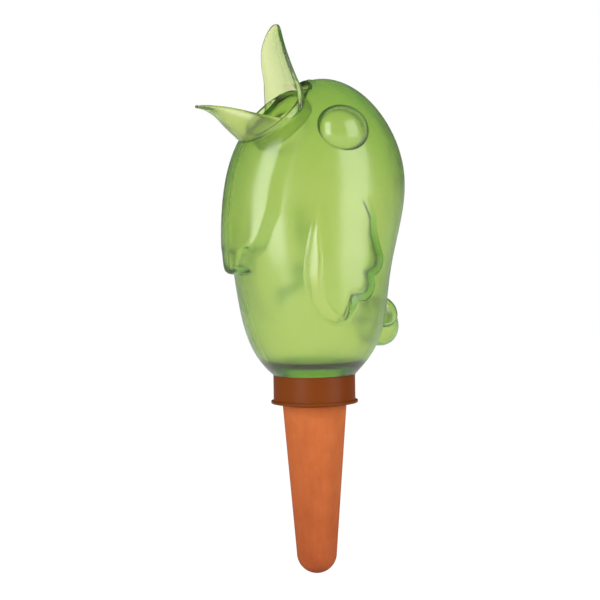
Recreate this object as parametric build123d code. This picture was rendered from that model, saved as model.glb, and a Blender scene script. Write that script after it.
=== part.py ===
# A watering globe for pot plants, in the shape of a bird with its beak wide open.
# The hollow bird is two clear half shells welded along the middle. Water is poured in through the beak,
# runs down through the spigot and seeps into the soil through a hollow clay cone.
# A collar is pushed over the spigot and holds the cone by its flange, with a flat washer as the seal.
# Frame: millimetres, +Z up, the bird looks along -Y, the origin is on the cone's axis at the soil line,
# which is the underside of the collar. Left and right are the bird's own, so its left side is at +X.
import os
from math import cos, radians, sin, sqrt, tan

from build123d import *

# Clay cone
cone_length = 75.2
cone_top_radius = 14.2
cone_tip_radius = 8.8
cone_wall = 3.0
cone_flange_height = 2.2

# Collar
collar_height = 12.5
collar_wall = 2.2
collar_ledge_width = 1.35
collar_ledge_height = 1.8
collar_lip_width = 1.1
collar_lip_height = 1.2
collar_under_slope = 0.9
collar_chamfer = 0.4

# Washer
washer_thickness = 1.2
washer_width = 3.4

# Clearances between the pieces
spigot_clearance = 0.1
cone_clearance = 0.15
flange_clearance = 0.2
washer_clearance = 0.1

# Globe: the body
wall = 1.8
body_height = 128.7
body_depth = 79.4
body_width = 65.2
body_floor = 5.5
spigot_wall = 2.6
neck_overhang = 0.1
# Each section above the neck: height, centre along Y, half depth and half width, as shares of the
# body's height, depth, half depth and half width.
body_section_shares = [
    (0.020, 0.000, 0.514, 0.626),
    (0.045, 0.000, 0.586, 0.712),
    (0.074, 0.000, 0.655, 0.804),
    (0.120, 0.000, 0.723, 0.890),
    (0.183, 0.002, 0.781, 0.948),
    (0.260, 0.000, 0.833, 0.979),
    (0.338, -0.003, 0.877, 0.988),
    (0.416, 0.005, 0.924, 0.994),
    (0.493, 0.020, 0.972, 1.000),
    (0.587, 0.037, 1.000, 1.000),
    (0.664, 0.048, 0.992, 0.982),
    (0.742, 0.054, 0.940, 0.945),
    (0.804, 0.057, 0.851, 0.877),
    (0.866, 0.059, 0.718, 0.773),
    (0.921, 0.068, 0.564, 0.626),
    (0.960, 0.074, 0.393, 0.454),
    (0.986, 0.076, 0.219, 0.252),
]
body_apex_share = 0.076

# Globe: the face, a level brow under the round step of the crown and a sloping flat in front of it
crown_front_y = 0.9
crown_front_radius = 15.0
crown_step = 4.6
brow_depth = 5.8
face_slope_degrees = 42.0
face_wall = 2.0

# Globe: the throat, a round hole through the face, with a rim outside and a skirt inside
throat_wall = 1.6
throat_rim_height = 2.0
throat_skirt_length = 7.0
throat_place_share = 0.317

# Globe: the beak. Each section of the upper half: height above the face's top edge, half width,
# front edge and ridge, as shares of this half's height, half width and depth.
beak_wall = 1.5
beak_width = 33.0
beak_solid_tip = 1.8
upper_beak_height = 28.0
upper_beak_depth = 14.0
upper_beak_shares = [
    (-0.47, 1.000, -1.06, -0.40),
    (-0.27, 0.945, -1.02, -0.45),
    (0.00, 0.910, -1.05, -0.60),
    (0.13, 0.830, -1.11, -0.74),
    (0.35, 0.740, -1.24, -0.91),
    (0.60, 0.606, -1.33, -1.06),
    (0.80, 0.420, -1.32, -1.10),
    (0.92, 0.270, -1.27, -1.10),
    (0.98, 0.150, -1.22, -1.11),
    (1.00, 0.060, -1.19, -1.13),
]
# Each section of the lower half: reach in front of the axis, half width, upper edge and keel.
lower_beak_overhang = 16.0
lower_beak_drop = 12.6
lower_beak_depth = 17.0
lower_beak_shares = [
    (0.26, 1.000, 0.00, -1.40),
    (0.40, 0.909, 0.02, -1.16),
    (0.50, 0.794, 0.08, -0.88),
    (0.60, 0.690, 0.15, -0.59),
    (0.71, 0.570, 0.24, -0.28),
    (0.81, 0.424, 0.31, 0.03),
    (0.91, 0.267, 0.35, 0.21),
    (0.97, 0.160, 0.36, 0.26),
    (1.00, 0.080, 0.35, 0.28),
]

# Globe: the eyes
eye_drop = 20.8
eye_y = 1.6
eye_proud = 5.6
eye_depth_radius = 9.5
eye_length_radius = 12.1
eye_height_radius = 10.9
eye_tilt_degrees = 26.0

# Globe: the bib, a raised breast with a scalloped lower edge
bib_proud = 4.6
bib_narrower = 3.0
bib_bottom_rise = 45.5
bib_scallop_rise = 8.5
bib_lobe_half_width = 9.5
bib_corner_radius = 2.5
bib_first_section = 6
bib_last_section = 15

# Globe: the wings. Each point of the outline: place along Y from the body's axis and height above the
# wing's tip, as shares of the wing's width and length. Each feather ends an arc through two points.
wing_proud = 3.5
wing_length = 55.5
wing_width = 36.0
wing_tip_rise = 24.0
wing_y = -2.0
wing_set_back = 3.0
wing_depth_share = 0.85
wing_front_shares = [
    (-0.25, 1.00),
    (-0.37, 0.82),
    (-0.43, 0.66),
    (-0.465, 0.456),
    (-0.455, 0.303),
    (-0.38, 0.148),
    (-0.25, 0.038),
    (-0.11, 0.00),
    (0.02, 0.03),
]
wing_feather_shares = [
    ((0.08, 0.10), (0.128, 0.187)),
    ((0.306, 0.218), (0.344, 0.368)),
    ((0.472, 0.429), (0.461, 0.564)),
]
wing_back_shares = [(0.461, 0.564), (0.408, 0.692), (0.403, 0.809), (0.300, 0.960)]
wing_top_shares = ((0.04, 1.06), (-0.25, 1.00))
wing_section_shares = (-0.18, 0.0, 0.2, 0.4, 0.6, 0.8, 1.0, 1.14)
wing_fade = 8.0

# Globe: the tail, three rounded feathers low on the back
feather_half_width = 7.6
feather_half_length = 13.0
feather_half_thickness = 10.0
feather_droop_degrees = 40.0
tail_middle_rise = 22.0
tail_middle_reach = 13.5
tail_side_rise = 26.5
tail_side_reach = 5.9
tail_side_x = 9.5
tail_side_share = 0.62

overrun = 20.0

# Worked-out sizes of the joint between cone, collar and globe
collar_hole_radius = cone_top_radius + cone_clearance
collar_bore_radius = collar_hole_radius + collar_ledge_width
collar_radius = collar_bore_radius + collar_wall
collar_lip_radius = collar_radius + collar_lip_width
cone_flange_radius = collar_bore_radius - flange_clearance
cone_mouth_z = collar_ledge_height + cone_flange_height
washer_radius = collar_bore_radius - washer_clearance
washer_hole_radius = washer_radius - washer_width
spigot_end_z = cone_mouth_z + washer_thickness
spigot_radius = collar_bore_radius - spigot_clearance
spigot_bore_radius = spigot_radius - spigot_wall
neck_radius = collar_radius + neck_overhang

# Worked-out places on the globe
body_base_z = collar_height
body_top_z = body_base_z + body_height
face_top_z = body_top_z - crown_step
face_lean = tan(radians(face_slope_degrees))
face_rise = 1 / cos(radians(face_slope_degrees))
throat_outer_radius = beak_width / 2 - beak_wall
throat_radius = throat_outer_radius - throat_wall
brow_y = crown_front_y - brow_depth
throat_y = brow_y - throat_place_share * body_depth / 2
beak_corner_z = face_top_z - lower_beak_drop
lower_beak_reach = body_depth / 2 + lower_beak_overhang


def body_at(z):
    """Centre along Y, half depth and half width of the body's outside at this height."""
    rows = body_section_shares
    share = min(max((z - body_base_z) / body_height, rows[0][0]), rows[-1][0])
    low, high = next((a, b) for a, b in zip(rows, rows[1:]) if share <= b[0])
    part = (share - low[0]) / (high[0] - low[0])
    centre, depth, width = (a + (b - a) * part for a, b in zip(low[1:], high[1:]))
    return centre * body_depth, depth * body_depth / 2, width * body_width / 2


def side_slab(points):
    """A slab across the whole globe with the given outline, seen from the side as (Y, Z)."""
    outline = make_face(Polyline(*[(0, y, z) for y, z in points], close=True))
    return extrude(outline, body_width, dir=(1, 0, 0), both=True)


def level_ellipse(z, y, half_depth, half_width):
    """A level ellipse whose start lies on the middle plane, at the back."""
    return Plane(origin=(0, y, z), x_dir=(0, 1, 0)) * Ellipse(half_depth, half_width)


def body_form(inset, floor_rise):
    """The egg of the body, from the neck to the crown, drawn in by the inset."""
    neck = neck_radius - inset
    sections = [level_ellipse(body_base_z + floor_rise, 0, neck, neck)]
    for height_share, centre_share, depth_share, width_share in body_section_shares:
        z = body_base_z + floor_rise + height_share * (body_height - floor_rise - inset)
        half_depth = depth_share * body_depth / 2 - inset
        half_width = width_share * body_width / 2 - inset
        sections.append(level_ellipse(z, centre_share * body_depth, half_depth, half_width))
    apex = Vertex(0, body_apex_share * body_depth, body_top_z - inset)
    return loft([*sections, apex])


def bib_form(inset):
    """The raised breast: a deeper, narrower egg that shows only above the scalloped edge."""
    sections = []
    for height_share, centre_share, depth_share, width_share in body_section_shares[
        bib_first_section:bib_last_section
    ]:
        z = body_base_z + height_share * body_height
        half_depth = depth_share * body_depth / 2 + bib_proud - inset
        half_width = width_share * body_width / 2 - bib_narrower - inset
        sections.append(level_ellipse(z, centre_share * body_depth, half_depth, half_width))
    egg = loft(sections)
    lobe_z = body_base_z + bib_bottom_rise + inset
    side_z = lobe_z + bib_scallop_rise
    lobe_x = bib_lobe_half_width - inset
    outer_x = body_width / 2
    edge = Polyline(
        (-outer_x, 0, body_top_z),
        (-outer_x, 0, side_z),
        (-lobe_x, 0, side_z),
        (-lobe_x, 0, lobe_z),
        (lobe_x, 0, lobe_z),
        (lobe_x, 0, side_z),
        (outer_x, 0, side_z),
        (outer_x, 0, body_top_z),
        close=True,
    )
    outline = make_face(edge)
    lobe_corners = [v for v in outline.vertices() if abs(v.X) < outer_x / 2]
    outline = fillet(lobe_corners, bib_corner_radius)
    return egg & extrude(outline, body_depth, dir=(0, -1, 0))


def wing_point(shares, inset):
    along_share, height_share = shares
    y = wing_y + along_share * (wing_width - 2 * inset)
    return (0, y, body_base_z + wing_tip_rise + inset + height_share * (wing_length - 2 * inset))


def wing_form(inset):
    """Both wings: a wider egg, set back so that it rises out of the body from front to back."""
    tip_z = body_base_z + wing_tip_rise
    top_z = tip_z + wing_length
    sections = []
    for share in wing_section_shares:
        z = tip_z + share * wing_length
        centre_y, half_depth, half_width = body_at(z)
        proud = wing_proud * sqrt(max(0, top_z + wing_fade - z) / wing_length)
        sections.append(
            level_ellipse(
                z,
                centre_y + wing_set_back,
                half_depth * wing_depth_share - inset,
                half_width + proud - inset,
            )
        )
    edges = [Spline(*[wing_point(shares, inset) for shares in wing_front_shares])]
    for bulge, notch in wing_feather_shares:
        edges.append(ThreePointArc(edges[-1] @ 1, wing_point(bulge, inset), wing_point(notch, inset)))
    edges.append(Spline(*[wing_point(shares, inset) for shares in wing_back_shares]))
    crest, front = wing_top_shares
    edges.append(ThreePointArc(edges[-1] @ 1, wing_point(crest, inset), wing_point(front, inset)))
    outline = make_face(Curve() + edges)
    return loft(sections) & extrude(outline, body_width, dir=(1, 0, 0), both=True)


def eye_form(inset):
    """One eye's dome, on the bird's left, tilted up with the side of the head."""
    z = body_top_z - eye_drop
    centre_y, half_depth, half_width = body_at(z)
    x = half_width * sqrt(1 - ((eye_y - centre_y) / half_depth) ** 2)
    radii = (eye_depth_radius - inset, eye_length_radius - inset, eye_height_radius - inset)
    dome = Pos(eye_proud - eye_depth_radius, 0, 0) * scale(Sphere(1), by=radii)
    return Pos(x, eye_y, z) * Rot(0, -eye_tilt_degrees, 0) * dome


def feather(x, rise, reach, share):
    """One rounded tail feather, drooping to the back, at this share of its full size."""
    z = body_base_z + rise
    centre_y, half_depth, _ = body_at(z)
    radii = (feather_half_width, feather_half_length, feather_half_thickness)
    blade = scale(Sphere(1), by=tuple(radius * share for radius in radii))
    tip_y = centre_y + half_depth + reach
    return Pos(x, tip_y - feather_half_length * share, z) * Rot(-feather_droop_degrees, 0, 0) * blade


def upper_beak():
    """The upper half of the beak, a trough that stands up and is open to the front."""
    half_width = beak_width / 2
    outer, inner, front = [], [], []
    for height_share, width_share, edge_share, ridge_share in upper_beak_shares:
        z = face_top_z + height_share * upper_beak_height
        edge_y = edge_share * upper_beak_depth
        depth = (ridge_share - edge_share) * upper_beak_depth
        width = width_share * half_width
        outer.append(level_ellipse(z, edge_y, depth, width))
        if min(width, depth) > beak_solid_tip:
            inner.append(level_ellipse(z, edge_y, depth - beak_wall, width - beak_wall))
        front.append((edge_y, z))
    tip_y, tip_z = front[-1]
    front_edge = Spline(*[(0, y, z) for y, z in front])
    behind = Polyline(front_edge @ 1, (0, overrun, tip_z), (0, overrun, front[0][1]), front_edge @ 0)
    slab = extrude(make_face(front_edge + behind), half_width + overrun, dir=(1, 0, 0), both=True)
    return (loft(outer) - loft(inner)) & slab


def lower_beak():
    """The lower half of the beak, a trough that reaches forward and is open upwards."""
    half_width = beak_width / 2
    outer, inner, top = [], [], []
    for reach_share, width_share, edge_share, keel_share in lower_beak_shares:
        y = -reach_share * lower_beak_reach
        edge_z = beak_corner_z + edge_share * lower_beak_depth
        depth = (edge_share - keel_share) * lower_beak_depth
        width = width_share * half_width
        place = Plane(origin=(0, y, edge_z), x_dir=(0, 0, 1), z_dir=(0, -1, 0))
        outer.append(place * Ellipse(depth, width))
        if min(width, depth) > beak_solid_tip:
            inner.append(place * Ellipse(depth - beak_wall, width - beak_wall))
        top.append((0, y, edge_z))
    top_edge = Spline(*top)
    floor_z = beak_corner_z - 2 * lower_beak_depth
    below = Polyline(top_edge @ 1, (0, top[-1][1], floor_z), (0, top[0][1], floor_z), top_edge @ 0)
    slab = extrude(make_face(top_edge + below), half_width + overrun, dir=(1, 0, 0), both=True)
    return (loft(outer) - loft(inner)) & slab


def face_room(inset):
    """What is cleared for the beak: above the brow and the sloping face, up to the crown's round step."""
    step_z = face_top_z - inset
    edge_y = brow_y + inset * (face_rise - 1) / face_lean
    front_y = -lower_beak_reach - overrun
    back_y = crown_front_y + overrun
    top_z = body_top_z + overrun
    front_z = step_z + (front_y - edge_y) * face_lean
    outline = [(edge_y, step_z), (back_y, step_z), (back_y, top_z), (front_y, top_z), (front_y, front_z)]
    above = side_slab(outline)
    centre_y = crown_front_y - crown_front_radius
    round_step = Plane(origin=(0, centre_y, 0)) * Circle(crown_front_radius + inset)
    before = Plane(origin=(0, (centre_y + front_y) / 2, 0)) * Rectangle(2 * body_width, centre_y - front_y)
    return above & extrude(round_step + before, top_z)


def face_place(height):
    """A plane along the sloping face, on the middle of the throat, this far above the face."""
    slope = radians(face_slope_degrees)
    y = throat_y - height * sin(slope)
    z = face_top_z + (throat_y - brow_y) * face_lean + height * cos(slope)
    return Plane(origin=(0, y, z), x_dir=(1, 0, 0), z_dir=(0, -sin(slope), cos(slope)))


def throat_cylinder(radius, low, high):
    return extrude(face_place(low) * Circle(radius), high - low)


def upright_cylinder(radius, low, high):
    return extrude(Plane(origin=(0, 0, low)) * Circle(radius), high - low)


def globe_outside():
    eye = eye_form(0)
    middle_feather = feather(0, tail_middle_rise, tail_middle_reach, 1)
    side_feather = feather(tail_side_x, tail_side_rise, tail_side_reach, tail_side_share)
    egg = body_form(0, 0) + bib_form(0) + wing_form(0) + eye + mirror(eye, Plane.YZ)
    egg += middle_feather + side_feather + mirror(side_feather, Plane.YZ)
    return (egg - face_room(0)) + upper_beak() + lower_beak()


def globe_cavity():
    eye = eye_form(wall)
    egg = body_form(wall, body_floor) + bib_form(wall) + wing_form(wall) + eye + mirror(eye, Plane.YZ)
    return egg - face_room(face_wall)


def globe():
    """The whole hollow bird, before it is parted into its two halves."""
    shell = globe_outside() - globe_cavity()
    shell += throat_cylinder(throat_outer_radius, -throat_skirt_length, throat_rim_height)
    shell -= throat_cylinder(throat_radius, -throat_skirt_length - wall, throat_rim_height + wall)
    shell += upright_cylinder(spigot_radius, spigot_end_z, body_base_z + body_floor / 2)
    shell -= upright_cylinder(spigot_bore_radius, spigot_end_z - wall, body_base_z + body_floor + wall)
    return shell


def half_shells(shell):
    reach = body_depth + overrun
    tall = body_height + upper_beak_height + overrun
    left_room = Pos(reach / 2, 0, body_base_z) * Box(reach, 2 * reach, 2 * tall)
    left = shell & left_room
    return left, mirror(left, Plane.YZ)


def collar():
    low_z = -collar_under_slope
    profile = Polyline(
        (collar_hole_radius, 0, low_z),
        (collar_lip_radius, 0, 0),
        (collar_lip_radius, 0, collar_lip_height),
        (collar_radius, 0, collar_lip_height),
        (collar_radius, 0, collar_height),
        (collar_bore_radius, 0, collar_height),
        (collar_bore_radius, 0, collar_ledge_height),
        (collar_hole_radius, 0, collar_ledge_height),
        close=True,
    )
    ring = revolve(make_face(profile), Axis.Z)
    return chamfer(ring.edges().group_by(Axis.Z)[-1], collar_chamfer)


def sealing_washer():
    ring = upright_cylinder(washer_radius, cone_mouth_z, spigot_end_z)
    return ring - upright_cylinder(washer_hole_radius, cone_mouth_z, spigot_end_z)


def clay_cone():
    """A hollow spike with a round end, open at the top under its flange."""
    tip_centre_z = cone_tip_radius - cone_length
    lean = (cone_top_radius - cone_tip_radius) / (collar_ledge_height - tip_centre_z)

    def spike(radius_cut, top_z):
        tip = cone_tip_radius - radius_cut
        top = tip + lean * (top_z - tip_centre_z)
        side = Polyline((0, 0, top_z), (top, 0, top_z), (tip, 0, tip_centre_z))
        end = ThreePointArc(
            (tip, 0, tip_centre_z),
            (tip * cos(radians(45)), 0, tip_centre_z - tip * sin(radians(45))),
            (0, 0, tip_centre_z - tip),
        )
        closing = Line((0, 0, tip_centre_z - tip), (0, 0, top_z))
        return revolve(make_face(Curve() + [side, end, closing]), Axis.Z)

    flange = upright_cylinder(cone_flange_radius, collar_ledge_height, cone_mouth_z)
    return spike(0, collar_ledge_height) + flange - spike(cone_wall, cone_mouth_z)


def main():
    os.makedirs("parts", exist_ok=True)
    shell_left, shell_right = half_shells(globe())
    nodes = {
        "shell_left": shell_left,
        "shell_right": shell_right,
        "collar": collar(),
        "sealing_washer": sealing_washer(),
        "clay_cone": clay_cone(),
    }
    for name, solid in nodes.items():
        export_step(solid, f"parts/{name}.step")


main()
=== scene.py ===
from math import atan, cos, pi, radians, sin, tan

import bmesh
import bpy
import numpy as np
from mathutils import Matrix, Vector


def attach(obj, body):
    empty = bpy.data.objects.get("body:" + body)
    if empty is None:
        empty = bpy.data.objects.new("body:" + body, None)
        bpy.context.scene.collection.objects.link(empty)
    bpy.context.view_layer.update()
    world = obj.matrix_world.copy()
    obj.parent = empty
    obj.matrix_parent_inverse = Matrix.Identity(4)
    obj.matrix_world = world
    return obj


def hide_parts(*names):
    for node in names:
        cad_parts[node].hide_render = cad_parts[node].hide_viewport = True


# The look of the watering globe: a clear green bird in two half shells, a brown collar, a clay cone.
# Shapes are worked out in millimetres, in the frame of the solids, and a finished piece goes to metres.
# The bird looks along -Y, +Z is up, and the origin is on the cone's axis at the soil line.

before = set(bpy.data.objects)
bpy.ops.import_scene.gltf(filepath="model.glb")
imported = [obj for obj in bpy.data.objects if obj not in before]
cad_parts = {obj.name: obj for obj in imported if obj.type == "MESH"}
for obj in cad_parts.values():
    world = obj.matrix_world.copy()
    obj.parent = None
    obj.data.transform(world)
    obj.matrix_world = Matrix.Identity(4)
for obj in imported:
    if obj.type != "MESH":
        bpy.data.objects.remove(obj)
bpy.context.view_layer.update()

MM = 0.001
FINE = 1.0

# Body, as in the solids. A section is a share of the height, then shares of the depth for its
# centre and its own depth, and a share of the width.
WALL = 1.8
BODY_BASE = 12.5
BODY_HEIGHT = 128.7
BODY_DEPTH = 79.2
BODY_WIDTH = 65.2
BODY_FLOOR = 5.5
NECK_RADIUS = 18.0
APEX_SHARE = 0.076
BODY_SECTIONS = [
    (0.020, 0.000, 0.514, 0.626),
    (0.045, 0.000, 0.586, 0.712),
    (0.074, 0.000, 0.655, 0.804),
    (0.120, 0.000, 0.723, 0.890),
    (0.183, 0.002, 0.781, 0.948),
    (0.260, 0.000, 0.833, 0.979),
    (0.338, -0.003, 0.877, 0.988),
    (0.416, 0.005, 0.924, 0.994),
    (0.493, 0.020, 0.972, 1.000),
    (0.587, 0.037, 1.000, 1.000),
    (0.664, 0.048, 0.992, 0.982),
    (0.742, 0.054, 0.940, 0.945),
    (0.804, 0.057, 0.851, 0.877),
    (0.866, 0.059, 0.718, 0.773),
    (0.921, 0.068, 0.564, 0.626),
    (0.960, 0.074, 0.393, 0.454),
    (0.986, 0.076, 0.219, 0.252),
]

# Smooth curves are fitted through the sections, and kept close to both ends
SIZE_DEGREE = 8
CENTRE_DEGREE = 7
ENDS_WEIGHT = 30

# Face, throat and beak. FACE_SPARE keeps the skin just short of the face that is cut into it later, and
# BEHIND_FACE is how fast that limit rises again behind the crown's step.
CROWN_FRONT_Y = -2.2
CROWN_FRONT_RADIUS = 11.3
CROWN_STEP = 4.6
BROW_Y = -4.9
FACE_SLOPE = radians(42)
FACE_BEND_Y = -24.5
FACE_LOW_SLOPE = radians(16)
FACE_WALL = 1.3
FACE_RIM = 1.2
FACE_SPARE = 0.05
BEHIND_FACE = 4
THROAT_Y = -17.5
THROAT_OUTER = 15.0
THROAT_WALL = 1.6
THROAT_RIM = 2.0
THROAT_SKIRT = 7.0
THROAT_ROUNDING = 0.7
BEAK_WALL = 1.5
BEAK_WALL_SHARES = (0.9, 0.6)
BEAK_RIM_TURN = 0.05
BEAK_WIDTH = 33.0
BEAK_TIP_CROWDING = 1.4
UPPER_BEAK_HEIGHT = 27.99
UPPER_BEAK_DEPTH = 14.0
# Each section of the upper half: height, half width, front edge and ridge
UPPER_BEAK_SECTIONS = [
    (-0.47, 1.000, -1.06, -0.40),
    (-0.27, 0.945, -1.02, -0.45),
    (0.00, 0.910, -1.05, -0.60),
    (0.13, 0.830, -1.11, -0.74),
    (0.35, 0.740, -1.24, -0.91),
    (0.60, 0.606, -1.33, -1.06),
    (0.80, 0.420, -1.32, -1.10),
    (0.92, 0.270, -1.27, -1.10),
    (0.98, 0.150, -1.22, -1.11),
    (1.00, 0.060, -1.19, -1.13),
]
LOWER_BEAK_REACH = 55.7
LOWER_BEAK_DROP = 12.6
LOWER_BEAK_DEPTH = 17.0
# Each section of the lower half: reach, half width, upper edge and keel
LOWER_BEAK_SECTIONS = [
    (0.26, 1.000, 0.00, -1.40),
    (0.40, 0.909, 0.02, -1.16),
    (0.50, 0.794, 0.08, -0.88),
    (0.60, 0.690, 0.15, -0.59),
    (0.71, 0.570, 0.24, -0.28),
    (0.81, 0.424, 0.31, 0.03),
    (0.91, 0.267, 0.35, 0.21),
    (0.97, 0.160, 0.36, 0.26),
    (1.00, 0.080, 0.35, 0.28),
]

# Eye
EYE_DROP = 20.8
EYE_Y = 1.6
EYE_PROUD = 5.6
EYE_RADII = (8.6, 12.1, 10.9)
EYE_TILT = radians(26)

# Bib: the raised breast
BIB_HEIGHTS = (58.0, 68.0, 84.0, 104.0, 120.0)
BIB_PROUD = (6.4, 5.6, 4.6, 3.7, 2.8)
BIB_HALF_WIDTH = (10.5, 13.5, 17.7, 18.5, 17.6)
BIB_NARROWER = 1.5
BIB_LOBE_Z = 58.0
BIB_SIDE_Z = 66.5
BIB_LOBE_HALF_WIDTH = 8.2
BIB_CORNER = 4.5
BIB_RISER = 2.2
BIB_SIDE_RISER = 3.2

# Wing: outline points are shares of its width along Y and of its length above the tip
WING_PROUD = 3.15
WING_FADE_Z = 90.0
WING_FADE_LENGTH = 25.0
WING_FRONT_SLOPE = 0.62
WING_BACK_SLOPE = 3.2
WING_BLEND = 0.12
WING_HOLLOW_BLEND = 0.32
WING_EDGE_WALL = 2.2
WING_BEAD = 0.75
WING_GROOVE = 0.55
WING_BEAD_WIDTH = 0.6
WING_RIB = 2.6
WING_Y = -2.0
WING_LENGTH = 55.5
WING_WIDTH = 36.0
WING_TIP_Z = 36.5
WING_FRONT = [
    (-0.25, 1.00),
    (-0.37, 0.82),
    (-0.43, 0.66),
    (-0.465, 0.456),
    (-0.455, 0.303),
    (-0.38, 0.148),
    (-0.25, 0.038),
    (-0.11, 0.00),
    (0.02, 0.03),
]
WING_FEATHERS = [
    ((0.08, 0.10), (0.128, 0.187)),
    ((0.306, 0.218), (0.344, 0.368)),
    ((0.472, 0.429), (0.461, 0.564)),
]
WING_BACK = [(0.461, 0.564), (0.408, 0.692), (0.403, 0.809), (0.300, 0.960)]
WING_CREST = ((0.04, 1.06), (-0.25, 1.00))
WING_MIDDLE_Y = 0.5
WING_MIDDLE_WIDTH = 4.0

# Tail feathers
FEATHER_RADII = (7.6, 13.0, 10.0)
FEATHER_DROOP = radians(40)
TAIL_MIDDLE_RISE = 22.0
TAIL_MIDDLE_REACH = 13.35
TAIL_SIDE_RISE = 26.5
TAIL_SIDE_REACH = 5.9
TAIL_SIDE_X = 9.5
TAIL_SIDE_SHARE = 0.62

# Spigot, collar and cone
SPIGOT_RADIUS = 15.6
SPIGOT_BORE = 13.0
SPIGOT_END = 5.2
SPIGOT_SPARE = 0.5
COLLAR_HEIGHT = 12.5
COLLAR_RADIUS = 17.9
COLLAR_LIP_RADIUS = 19.0
COLLAR_LIP_HEIGHT = 1.2
COLLAR_UNDER = 0.9
COLLAR_BORE = 15.7
COLLAR_HOLE = 14.35
COLLAR_LEDGE = 1.8
COLLAR_ROUNDING = 0.35
COLLAR_SEGMENTS = 192
CONE_LENGTH = 75.2
CONE_TOP_RADIUS = 14.2
CONE_TIP_RADIUS = 8.8
CONE_WALL = 3.0
CONE_FLANGE_RADIUS = 15.5
CONE_MOUTH = 4.0
CONE_END_RADIUS = 0.001

# The body's surface is measured out from a short upright core in its middle, by halving the way
CORE_Z = 76.0
CORE_HALF = 17.0
HALVINGS = 34
LEAST_RISE = 0.05
LEAST_FALL = 0.01
LEAST_HALF_SIZE = 0.01
FLOOR_ROUNDING = 1.5

# Half the gap that shows the parting line, and the angle above which an edge stays sharp
SEAM_GAP = 0.012
SHARP_ANGLE = radians(32)

# Vertices closer than this are merged: on the skins, where the grid closes, and on all other pieces
SKIN_WELD = 1e-3
WELD = 1e-4

# How finely forms are divided: rings, then segments
SKIN_GRID = (280, 400)
HOLLOW_GRID = (190, 280)
BEAK_GRID = (110, 120)
BALL_GRID = (72, 112)
ROUND_SEGMENTS = 160

FACE_TOP = BODY_BASE + BODY_HEIGHT - CROWN_STEP
BEAK_CORNER = FACE_TOP - LOWER_BEAK_DROP
FAR = 4 * BODY_HEIGHT

# Camera, lights and floor, in metres; a softbox has its azimuth and rise in degrees, its distance,
# width, height and radiance
CAMERA_AZIMUTH = radians(60)
CAMERA_RISE = radians(3.5)
CAMERA_ROLL = radians(0.9)
CAMERA_AWAY = 1.1
FRAME_WIDE = 0.262
FRAME_ACROSS = -0.0057
FRAME_UP = 0.045
SOFTBOXES = [
    ("softbox_front", 22, 8, 0.9, 0.45, 1.5, 6.6),
    ("softbox_side", 119, 12, 0.9, 0.55, 1.3, 4.5),
]
WORLD_LIGHT = 0.45
WORLD_MIRRORED = 0.15
FLOOR_HALF_SIZE = 12.0
FLOOR_GAP = 0.0003
FLOOR_COLOUR = (0.9, 0.9, 0.9)
FLOOR_GLOW = 1.10
FLOOR_GLOW_SHARE = 0.88

# Patterns: spots to a metre, detail and roughness
PATCHES = (26, 1, 0.5)
MOTTLE = (90, 4, 0.62)
SMEARS = (260, 3, 0.5)
PORES = (1500, 4, 0.65)
DUST = (400, 4, 0.5)
RUBBER_GRAIN = (2200, 2, 0.5)

# Plastics: detail and roughness of their waves and grain, whose scales each plastic sets for itself.
# Each pair of tints or roughnesses is a range that the slow waves of the mould run through.
WAVES = (2, 0.5)
GRAIN = (3, 0.6)
GREEN_PLASTIC = {
    "scales": {"Bubble Glint Scale": 270, "Grain Scale": 900, "Wave Scale": 34},
    "tints": ((0.975, 0.915, 0.54), (0.995, 0.925, 0.58)),
    # The speck colour is near white: painted glints on the trapped bubbles.
    "glint_speck": (1.0, 1.0, 0.95),
    "depth_colour": (0.51, 0.795, 0.34),
    "density": 465,
    "roughness": (0.16, 0.26),
    "transmission": 0.97,
    "specular": 0.5,
}
BROWN_PLASTIC = {
    "scales": {"Bubble Glint Scale": 270, "Grain Scale": 900, "Wave Scale": 34},
    "tints": ((0.13, 0.028, 0.0038), (0.155, 0.035, 0.005)),
    "glint_speck": (0.22, 0.06, 0.01),
    "depth_colour": (0.75, 0.40, 0.10),
    "density": 300,
    "roughness": (0.3, 0.42),
    "transmission": 0.05,
    "specular": 0.05,
}
PLASTIC_IOR = 1.49
WAVE_DEPTH = 0.0006
GRAIN_DEPTH = 0.00003

# Clay and rubber: each pair is a range from plain to mottled
UPPER_CLAY = ((0.455, 0.119, 0.0275), (0.395, 0.094, 0.021))
LOWER_CLAY = ((0.335, 0.073, 0.0165), (0.29, 0.061, 0.0135))
CLAY_SMEAR = (0.80, 0.74, 0.70)
SMEAR_SHARE = 0.35
SMEAR_SQUEEZE = 0.12
SMEAR_DEPTH = 0.00008
PORE_DEPTH = 0.00012
CLAY_ROUGHNESS = (0.78, 0.92)
CLAY_SPECULAR = 0.25
RUBBER_ROUGHNESS = (0.5, 0.75)
RUBBER_DUST = ((0.016, 0.016, 0.017), (0.04, 0.039, 0.037))
RUBBER_DEPTH = 0.00004


# Curves and soft steps

def soft_min(a, b, blend):
    """The smaller of two values, with the corner where they meet rounded."""
    return 0.5 * (a + b - np.sqrt((a - b) ** 2 + blend ** 2))


def soft_max(a, b, blend):
    """The greater of two values, with the corner where they meet rounded."""
    return 0.5 * (a + b + np.sqrt((a - b) ** 2 + blend ** 2))


def soft_ramp(value):
    """A straight ramp from 0 at 0 to 1 at 1, with both bends rounded."""
    softness = 0.14
    rise = np.sqrt(value ** 2 + softness ** 2) - np.sqrt((value - 1) ** 2 + softness ** 2)
    return np.clip(0.5 * (rise + 1), 0, 1)


def bell(distance, width):
    """A hump of height 1 that fades out to both sides."""
    return np.exp(-(distance / width) ** 2)


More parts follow.
